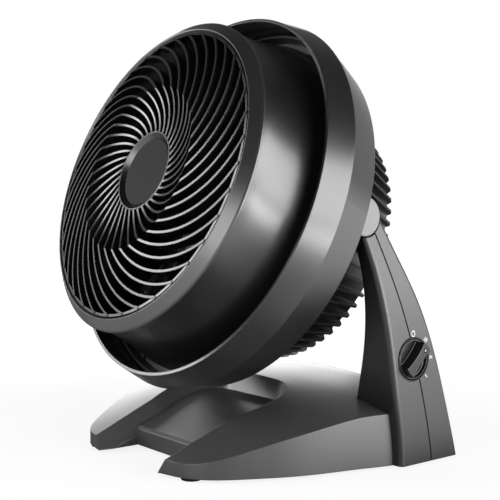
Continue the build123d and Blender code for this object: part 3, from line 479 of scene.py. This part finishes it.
@dataclass(frozen=True)
class Print:
    """A thin raised layer laid on a surface along one direction."""

    surface: Surface
    inward: Vector
    reach: float = 60 * MM
    rise: float = 0.06 * MM
    sink: float = 0.08 * MM

    def _pair(self, shape: bmesh.types.BMesh, point: Vector) -> tuple[bmesh.types.BMVert, ...]:
        """Add the upper and the lower vertex of a layer at a point."""
        place = self.surface.meet(point - self.inward * self.reach, self.inward)
        return tuple(shape.verts.new(place + self.inward * far) for far in (-self.rise, self.sink))

    def ribbon(self, shape: bmesh.types.BMesh, left: Sequence[Vector], right: Sequence[Vector],
               closed: bool = False) -> None:
        """Add a band between two rails.

        Args:
            shape: the mesh that it joins.
            left: points of one rail.
            right: points of the other, as many.
            closed: whether the band runs round to its start.
        """
        one, two = ([self._pair(shape, point) for point in rail] for rail in (left, right))
        last = len(one) - 1
        steps = [(i, i + 1) for i in range(last)] + ([(last, 0)] if closed else [])
        for i, j in steps:
            shape.faces.new((one[i][0], one[j][0], two[j][0], two[i][0]))
            shape.faces.new((one[i][1], two[i][1], two[j][1], one[j][1]))
            shape.faces.new((one[i][1], one[j][1], one[j][0], one[i][0]))
            shape.faces.new((two[i][0], two[j][0], two[j][1], two[i][1]))
        if not closed:
            for i in (0, last):
                shape.faces.new((one[i][0], two[i][0], two[i][1], one[i][1]))


@dataclass(frozen=True)
class CrossDrive:
    """Painted shade of a screw head's cross recess: a dark cross, as half-lengths and half-widths
    from its middle.
    """

    reach: float = 1.9 * MM
    shoulder: float = 0.7 * MM
    root: float = 0.36 * MM
    tip: float = 0.24 * MM

    def add(self, shape: bmesh.types.BMesh, layer: Print, spot: Vector) -> None:
        """Add one bar right across, and an arm on each side of it.

        Args:
            shape: the mesh that it joins.
            layer: the layer on the screw's head.
            spot: a point on the screw's line.
        """
        across = layer.inward.orthogonal().normalized()
        beside = layer.inward.cross(across)
        arm = ((self.root, self.root), (self.reach, self.tip))
        bar = ((-self.reach, self.tip), (-self.shoulder, self.root),
               (self.shoulder, self.root), (self.reach, self.tip))
        for along, wide, outline in ((across, beside, bar), (beside, across, arm),
                                     (-beside, -across, arm)):
            rails = [[spot + along * far + wide * (half * side) for far, half in outline]
                     for side in (1, -1)]
            layer.ribbon(shape, *rails)


@dataclass(frozen=True)
class TurnedDisc:
    """A small round piece: radius and height of each ring in metres, from the outside in."""

    profile: tuple[Pair, ...]
    sides: int = 40

    def build(self, centre: Vector, outward: Vector) -> bmesh.types.BMesh:
        """Turn the profile about a line.

        Args:
            centre: where the line meets the surface.
            outward: the line's direction.

        Returns:
            The new mesh.
        """
        shape = bmesh.new()
        across = outward.orthogonal().normalized()
        beside = outward.cross(across)
        turns = [2 * pi * i / self.sides for i in range(self.sides)]
        spokes = [across * cos(turn) + beside * sin(turn) for turn in turns]
        rings = [[shape.verts.new(centre + outward * height + spoke * radius) for spoke in spokes]
                 for radius, height in self.profile]
        for outer, inner in zip(rings, rings[1:]):
            for i in range(self.sides):
                j = (i + 1) % self.sides
                shape.faces.new((outer[i], outer[j], inner[j], inner[i]))
        shape.faces.new(rings[0])
        shape.faces.new(rings[-1])
        return shape


# ---- pieces ----
@dataclass
class Assembly:
    """A group of pieces of the fan that are finished together."""

    nodes: Mapping[str, bpy.types.Object]
    body: ClassVar[str] = "base"

    def dress(self, finish: Finish, *names: str) -> None:
        """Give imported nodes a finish.

        Args:
            finish: the finish to make and use.
            names: the nodes that get it.
        """
        material = finish.build()
        for name in names:
            piece = self.nodes[name]
            if not piece.material_slots:
                piece.data.materials.append(material)
            for place in piece.material_slots:
                place.material = material
            log.info("%s: %s", name, material.name)

    def add(self, name: str, shape: bmesh.types.BMesh, finish: Finish, slot: str) -> None:
        """Put a new piece in the scene, riding on this assembly's body.

        Args:
            name: the piece's name.
            shape: its mesh, freed here.
            finish: its finish.
            slot: the record's material slot that it belongs to; not used.
        """
        mesh = bpy.data.meshes.new(name)
        bmesh.ops.recalc_face_normals(shape, faces=shape.faces)
        shape.to_mesh(mesh)
        shape.free()
        mesh.materials.append(finish.build())
        piece = bpy.data.objects.new(name, mesh)
        bpy.context.scene.collection.objects.link(piece)
        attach(piece, self.body)
        log.info("%s: added", name)

    def add_drive_shade(self, name: str, screws: str, inward: Vector, spots: Iterable[Vector]) -> None:
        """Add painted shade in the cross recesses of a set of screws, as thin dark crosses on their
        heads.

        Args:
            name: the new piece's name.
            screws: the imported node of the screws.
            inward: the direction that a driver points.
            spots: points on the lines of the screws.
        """
        layer = Print(Surface([self.nodes[screws]]), inward, rise=0.02 * MM)
        shape = bmesh.new()
        for spot in spots:
            CrossDrive().add(shape, layer, spot)
        # The dark crosses are painted shade: they stand in for the shade inside the screws'
        # recesses.
        shadow = Moulding("drive_shadow", grey(0.03), 0.6, Skin.ETCHED)
        self.add(name, shape, shadow, "screw_steel")


@dataclass
class Base(Assembly):
    """Base shell, bottom cover, feet, screws and cord inlet; screw spots are X and Y."""

    screw_spots: tuple[Pair, ...] = ((70.0 * MM, -77.6 * MM), (96.0 * MM, -19.6 * MM),
                                     (84.0 * MM, 94.4 * MM))
    edge: float = 1.2 * MM

    def build(self) -> None:
        """Finish the base."""
        self.dress(Moulding("base_charcoal", grey(0.074), 0.35, Skin.SATIN, gloss=1.0, coat=0.4,
                            edge=self.edge), "base_shell")
        self.dress(Moulding("cover_black", grey(0.010, 0.0), 0.5, Skin.ETCHED), "base_bottom_cover")
        self.dress(Moulding("foot_rubber", grey(0.008, 0.0), 0.8, Skin.ETCHED, gloss=0.3),
                   "rubber_feet", "cord_inlet_gland")
        self.dress(Metal("screw_zinc", grey(0.55, 0.01), 0.35), "bottom_cover_screws",
                   "arm_cover_screws", "arm_foot_screws", "bracket_screws", "motor_screws",
                   "switch_nut")
        self.dress(Metal("screw_blackened", grey(0.05, 0.002), 0.5), "ring_screws")
        self.add_drive_shade("bottom_cover_screw_drive_shade", "bottom_cover_screws", Vector((0, 0, 1)),
                        [Vector((side * x, y, 0.0)) for x, y in self.screw_spots
                         for side in (1, -1)])


@dataclass
class Arms(Assembly):
    """Both arms with their pivots and their cover screws; screw spots are X and Z."""

    screw_spots: tuple[Pair, ...] = ((134.0 * MM, 122.5 * MM), (128.0 * MM, 64.5 * MM))
    rear: float = 100 * MM
    edge: float = 0.8 * MM
    cap_edge: float = 0.6 * MM

    def build(self) -> None:
        """Finish the arms."""
        self.dress(Moulding("arm_charcoal", grey(0.013, 0.0005), 0.35, Skin.SATIN, gloss=0.9,
                            coat=0.1, edge=self.edge),
                   "right_arm_front_shell", "left_arm_front_shell", "right_arm_rear_cover",
                   "left_arm_rear_cover")
        self.dress(Moulding("pivot_cap_grey", grey(0.16, 0.003), 0.36, Skin.SATIN, gloss=0.8,
                            coat=0.2, edge=self.cap_edge), "right_pivot_cap", "left_pivot_cap")
        self.dress(Metal("pivot_steel", grey(0.5, 0.01), 0.3), "right_pivot_bolt",
                   "left_pivot_bolt", "right_pivot_nut", "left_pivot_nut")
        self.dress(Moulding("washer_nylon", (0.62, 0.6, 0.54), 0.45, Skin.SATIN),
                   "right_friction_washer", "left_friction_washer")
        self.add_drive_shade("arm_cover_screw_drive_shade", "arm_cover_screws", Vector((0, -1, 0)),
                        [Vector((side * x, self.rear, z)) for x, z in self.screw_spots
                         for side in (1, -1)])


class Speed(Enum):
    """Marks of the dial: how many strokes (none for the off mark's ring) and where."""

    OFF = (0, 0.0)
    HIGH = (3, 45.0)
    MEDIUM = (2, 90.0)
    LOW = (1, 135.0)

    @property
    def strokes(self) -> int:
        """Number of strokes."""
        return self.value[0]

    @property
    def angle(self) -> float:
        """Angle from straight up, clockwise seen from outside, in radians."""
        return radians(self.value[1])


@dataclass
class Dial(Assembly):
    """White speed marks printed round the knob on the right arm."""

    face: float = 145 * MM
    radius: float = 19.7 * MM
    height: float = 3.5 * MM
    stroke: float = 0.74 * MM
    pitch: float = 1.35 * MM
    stroke_steps: int = 4
    ring: Pair = (1.75 * MM, 2.15 * MM)
    ring_sides: int = 36

    def build(self) -> None:
        """Print all marks."""
        arm = Surface([self.nodes["right_arm_front_shell"], self.nodes["right_arm_rear_cover"]])
        layer = Print(arm, Vector((-1, 0, 0)))
        paint = Paint("mark_white", grey(0.80, 0.0))
        for speed in Speed:
            shape = bmesh.new()
            if speed.strokes:
                self.add_strokes(shape, layer, speed)
            else:
                self.add_ring(shape, layer, speed)
            self.add(f"dial_mark_{speed.name.lower()}", shape, paint, "arm_plastic")

    def point(self, speed: Speed, across: float, along: float) -> Vector:
        """Carry a point of a mark from its own axes to the fan's.

        Args:
            speed: whose mark it is.
            across: distance sideways from the mark's middle line.
            along: distance outward from the middle of the dial.

        Returns:
            The point, near the arm's face.
        """
        turn = speed.angle
        y = DIAL_CENTRE[0] + across * cos(turn) + along * sin(turn)
        z = DIAL_CENTRE[1] - across * sin(turn) + along * cos(turn)
        return Vector((self.face, y, z))

    def add_strokes(self, shape: bmesh.types.BMesh, layer: Print, speed: Speed) -> None:
        """Add the upright strokes of a mark.

        Args:
            shape: the mesh that they join.
            layer: the layer on the arm.
            speed: whose mark it is.
        """
        low = self.radius - self.height / 2
        stations = [low + self.height * i / self.stroke_steps
                    for i in range(self.stroke_steps + 1)]
        for number in range(speed.strokes):
            middle = (number - (speed.strokes - 1) / 2) * self.pitch
            rails = [[self.point(speed, middle + side * self.stroke / 2, along)
                      for along in stations] for side in (-1, 1)]
            layer.ribbon(shape, *rails)

    def add_ring(self, shape: bmesh.types.BMesh, layer: Print, speed: Speed) -> None:
        """Add the oval ring of the off mark.

        Args:
            shape: the mesh that it joins.
            layer: the layer on the arm.
            speed: whose mark it is.
        """
        turns = [2 * pi * i / self.ring_sides for i in range(self.ring_sides)]
        rails = []
        for side in (1, -1):
            wide, tall = (half + side * self.stroke / 2 for half in self.ring)
            rails.append([self.point(speed, wide * cos(turn), self.radius + tall * sin(turn))
                          for turn in turns])
        layer.ribbon(shape, *rails, closed=True)


@dataclass
class Head(Assembly):
    """Outer ring, duct, bezel, grilles and trunnions."""

    body: ClassVar[str] = "head"
    ring_edge: float = 1.1 * MM
    duct_edge: float = 0.9 * MM
    bezel_edge: float = 0.8 * MM
    rib_edge: float = 0.6 * MM
    vane_edge: float = 0.5 * MM
    medallion_edge: float = 0.4 * MM

    def build(self) -> None:
        """Finish the head's shells."""
        self.dress(Moulding("ring_black", grey(0.016), 0.31, Skin.SATIN, gloss=1.0, coat=0.9,
                            edge=self.ring_edge), "outer_ring")
        self.dress(Moulding("duct_black", grey(0.008), 0.32, Skin.SATIN, gloss=1.0, coat=1.0,
                            edge=self.duct_edge), "inner_duct")
        self.dress(Moulding("bezel_grey", grey(0.026), 0.33, Skin.SATIN, gloss=1.0, coat=0.9,
                            edge=self.bezel_edge), "front_bezel")
        self.dress(Moulding("vane_black", grey(0.006), 0.28, Skin.POLISHED, gloss=1.0, coat=0.6,
                            edge=self.vane_edge), "front_grille")
        self.dress(Moulding("medallion_black", grey(0.018), 0.58, Skin.SATIN, gloss=0.2,
                            edge=self.medallion_edge), "grille_medallion")
        self.dress(Moulding("rib_black", grey(0.008), 0.36, Skin.SATIN, gloss=0.8,
                            edge=self.rib_edge),
                   "rear_grille", "rear_motor_cap", "right_trunnion", "left_trunnion")


@dataclass
class Motor(Assembly):
    """Motor and its bracket."""

    body: ClassVar[str] = "head"
    sheet: float = 0.8 * MM
    wire: float = 0.7 * MM
    cast_grain: float = 1.2 * MM
    cast_depth: float = 0.02 * MM

    def build(self) -> None:
        """Finish the motor."""
        self.dress(Metal("bracket_zinc", grey(0.42, 0.02), 0.4), "motor_bracket")
        self.dress(Metal("bell_cast", grey(0.62, 0.02), 0.42, self.cast_grain, self.cast_depth),
                   "motor_front_bell", "motor_rear_bell")
        self.dress(Metal("bearing_sintered", (0.5, 0.33, 0.16), 0.4),
                   "front_bearing", "rear_bearing")
        self.dress(Laminated("stack_steel", grey(0.35, 0.02), self.sheet, 0.4, 1.0),
                   "stator_core", "rotor_core")
        self.dress(Laminated("winding_enamel", (0.55, 0.20, 0.07), self.wire, 0.3, 0.8),
                   "stator_windings")


@dataclass
class Rotor(Assembly):
    """Blade, shaft and clip."""

    body: ClassVar[str] = "rotor"

    def build(self) -> None:
        """Finish the rotor."""
        self.dress(Moulding("blade_black", grey(0.012), 0.25, Skin.POLISHED, gloss=0.8),
                   "fan_blade")
        self.dress(Metal("shaft_ground", grey(0.6, 0.01), 0.2), "motor_shaft", "blade_clip")


@dataclass
class Knob(Assembly):
    """Speed knob with its cup, switch and white pointer dot."""

    body: ClassVar[str] = "knob"
    edge: float = 0.4 * MM
    pointer_radius: float = 9.6 * MM
    outside: float = 200 * MM
    ring: TurnedDisc = TurnedDisc(((1.7 * MM, -0.1 * MM), (1.7 * MM, 0.02 * MM),
                                   (1.6 * MM, 0.04 * MM), (0.72 * MM, 0.02 * MM)))
    dot: TurnedDisc = TurnedDisc(((0.8 * MM, -0.05 * MM), (0.8 * MM, 0.05 * MM),
                                  (0.64 * MM, 0.09 * MM), (0.28 * MM, 0.12 * MM)))

    def build(self) -> None:
        """Finish the knob and the switch, and add the pointer dot."""
        self.dress(Moulding("knob_black", grey(0.010), 0.27, Skin.POLISHED, gloss=0.6, coat=0.1,
                            edge=self.edge), "speed_knob")
        self.dress(Moulding("cup_black", grey(0.004, 0.0), 0.4, Skin.SATIN, gloss=0.4), "dial_cup")
        self.dress(Moulding("switch_brown", (0.16, 0.05, 0.03), 0.5, Skin.SATIN), "rotary_switch")
        self.dress(Metal("switch_shaft", grey(0.55, 0.01), 0.3), "switch_shaft")
        self.add_pointer()

    def add_pointer(self) -> None:
        """Add the white dot in its black ring at the end of the grip."""
        y = DIAL_CENTRE[0] + self.pointer_radius * sin(KNOB_TURN)
        z = DIAL_CENTRE[1] + self.pointer_radius * cos(KNOB_TURN)
        outward = Vector((1, 0, 0))
        top = Surface([self.nodes["speed_knob"]]).meet(Vector((self.outside, y, z)), -outward)
        self.add("knob_pointer_ring", self.ring.build(top, outward),
                 Moulding("pointer_black", grey(0.002, 0.0), 0.7, Skin.SATIN, gloss=0.1),
                 "knob_plastic")
        self.add("knob_pointer_dot", self.dot.build(top, outward),
                 Paint("pointer_white", grey(0.82, 0.0)), "knob_plastic")


# ---- studio ----
@dataclass(frozen=True)
class Softbox:
    """A soft lamp that the camera doesn't see: place and target in metres, width and height."""

    name: str
    place: Place
    size: Pair
    watts: float
    target: Place = (0.0, 0.0, 0.17)

    def build(self) -> None:
        """Put the lamp in the scene."""
        lamp = bpy.data.lights.new(self.name, "AREA")
        lamp.shape = "RECTANGLE"
        lamp.size, lamp.size_y = self.size
        lamp.energy = self.watts
        holder = bpy.data.objects.new(self.name, lamp)
        holder.location = self.place
        aim = Vector(self.target) - Vector(self.place)
        holder.rotation_euler = aim.to_track_quat("-Z", "Y").to_euler()
        holder.visible_camera = False
        bpy.context.scene.collection.objects.link(holder)
        log.info("%s: lit", self.name)


@dataclass
class Studio:
    """Pale floor, white surround, soft lamps and the camera of the photograph."""

    floor_half: float = 8.0
    floor_finish: PaleFloor = PaleFloor("floor_pale", grey(0.25, 0.0))
    away_x: float = -0.79
    away_y: float = 0.61
    mirrored_up: Fade = Fade((0.10, 0.38), (1.0, 0.12))
    mirrored_away: Fade = Fade((0.4, 0.9), (0.12, 1.0))
    fill_up: Fade = Fade((0.2, 0.9), (0.12, 0.16))
    camera_place: Place = (0.6431, -0.4978, 0.1939)
    camera_azimuth: float = 51.44
    camera_elevation: float = 2.07
    camera_lens: float = 69.6
    camera_sensor: float = 36.0
    softboxes: tuple[Softbox, ...] = (
        Softbox("right_softbox", (2.04, 0.82, 0.61), (3.3, 1.18), 61.0, (0.0, 0.0, 0.61)),
        Softbox("low_right_softbox", (0.60, 0.16, 0.06), (0.36, 0.1), 0.8, (0.0, 0.0, 0.06)),
        Softbox("rear_left_softbox", (-1.87, 1.17, 0.6), (1.4, 1.0), 9.5, (0.0, 0.0, 0.6)),
        Softbox("front_softbox", (0.59, -1.81, 0.36), (1.2, 0.7), 11.0, (0.0, 0.0, 0.36)),
        Softbox("front_left_softbox", (-1.35, -1.3, 0.85), (0.9, 1.0), 17.0),
    )

    def build(self) -> None:
        """Build everything round the fan."""
        self.build_floor()
        self.build_world()
        for softbox in self.softboxes:
            softbox.build()
        self.build_camera()

    def build_floor(self) -> None:
        """Lay a large pale floor, which keeps the fan's shadow."""
        half = self.floor_half
        shape = bmesh.new()
        spots = ((-half, -half), (half, -half), (half, half), (-half, half))
        shape.faces.new([shape.verts.new((x, y, 0.0)) for x, y in spots])
        mesh = bpy.data.meshes.new("studio_floor")
        shape.to_mesh(mesh)
        shape.free()
        mesh.materials.append(self.floor_finish.build())
        floor = bpy.data.objects.new("studio_floor", mesh)
        bpy.context.scene.collection.objects.link(floor)
        log.info("studio_floor: laid")

    def build_world(self) -> None:
        """Make a surround that is white to the camera, and to mirrors only low behind the fan."""
        world = bpy.data.worlds.new("studio")
        bpy.context.scene.world = world
        world.use_nodes = True
        shader = Shader(world.node_tree)
        towards = shader.node("ShaderNodeTexCoord", {}, {}, "Generated")
        x, y, z = (shader.axis(towards, letter) for letter in "XYZ")
        away = y * self.away_y + x * self.away_x
        mirrored = shader.ray("Glossy") * self.mirrored_up.of(z) * self.mirrored_away.of(away)
        fill = shader.ray("Diffuse") * self.fill_up.of(z)
        glow = shader.seen().at_least(mirrored.at_least(fill))
        surround = shader.node("ShaderNodeBackground", {}, {"Color": glow, "Strength": 1.0})
        shader.node("ShaderNodeOutputWorld", {}, {"Surface": surround})

    def build_camera(self) -> None:
        """Put the camera at the photograph's place and angle."""
        data = bpy.data.cameras.new("camera")
        data.lens = self.camera_lens
        data.sensor_width = self.camera_sensor
        camera = bpy.data.objects.new("camera", data)
        camera.location = self.camera_place
        turn = Matrix.Rotation(radians(self.camera_azimuth), 3, "Z")
        tip = Matrix.Rotation(radians(90 - self.camera_elevation), 3, "X")
        camera.rotation_euler = (turn @ tip).to_euler()
        bpy.context.scene.collection.objects.link(camera)
        bpy.context.scene.camera = camera


def main() -> None:
    """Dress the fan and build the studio."""
    logging.basicConfig(level=logging.INFO, format="%(name)s: %(message)s")
    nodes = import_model()["nodes"]
    bpy.context.view_layer.update()
    for assembly in (Base, Arms, Dial, Head, Motor, Rotor, Knob):
        assembly(nodes).build()
    Studio().build()
    bpy.context.scene.view_settings.view_transform = "Standard"


if __name__ == "__main__":
    main()
